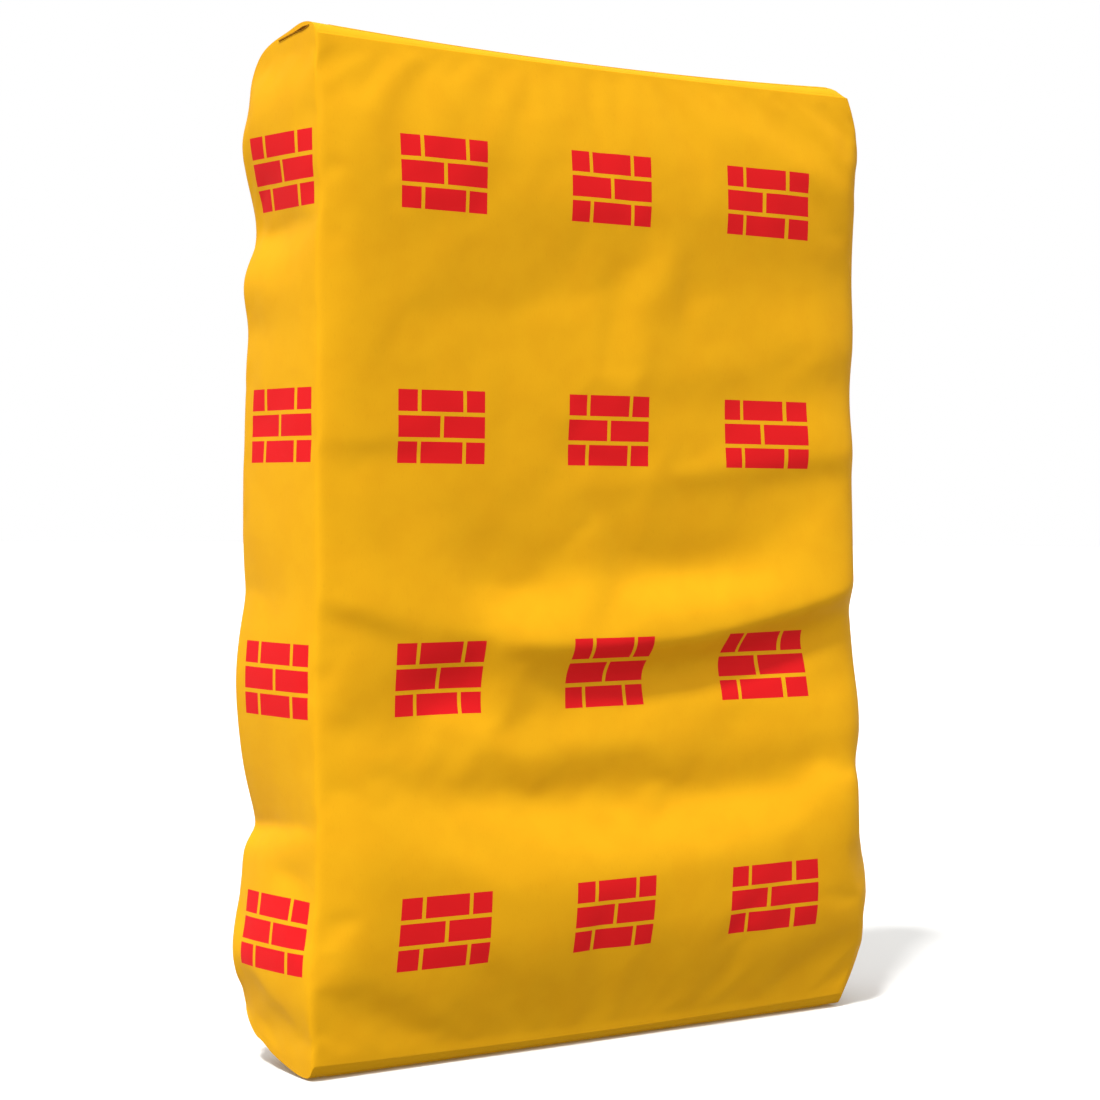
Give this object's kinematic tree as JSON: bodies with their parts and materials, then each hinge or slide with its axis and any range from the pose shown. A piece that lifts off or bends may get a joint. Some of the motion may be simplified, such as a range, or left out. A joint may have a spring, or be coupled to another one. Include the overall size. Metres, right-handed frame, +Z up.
{
  "type": "bag of grout",
  "caption": "Filled paper valve sack of dry grout powder with folded block ends, standing upright on its flat bottom end.",
  "frame": {"origin": "on the floor under the middle of the sack's overall box, at the underside of the bottom end", "axes": "+Z up along the height of the sack, +X along its width towards the right seen from the front, +Y through its thickness from the front face to the back face"},
  "size_m": [0.4354, 0.1108, 0.6015],
  "materials": {
    "printed_paper": "kraft paper printed all over in golden yellow, satin",
    "patch_paper": "kraft paper strip in golden yellow, satin",
    "valve_paper": "dyed kraft paper in dull golden yellow, matte",
    "grout_powder": "fine grey cement-based powder, matte"
  },
  "bodies": {
    "root": {"paper_sack": "printed_paper", "top_cover_patch": "patch_paper", "bottom_cover_patch": "patch_paper", "valve_sleeve": "valve_paper", "grout_fill": "grout_powder"}
  },
  "joints": []
}
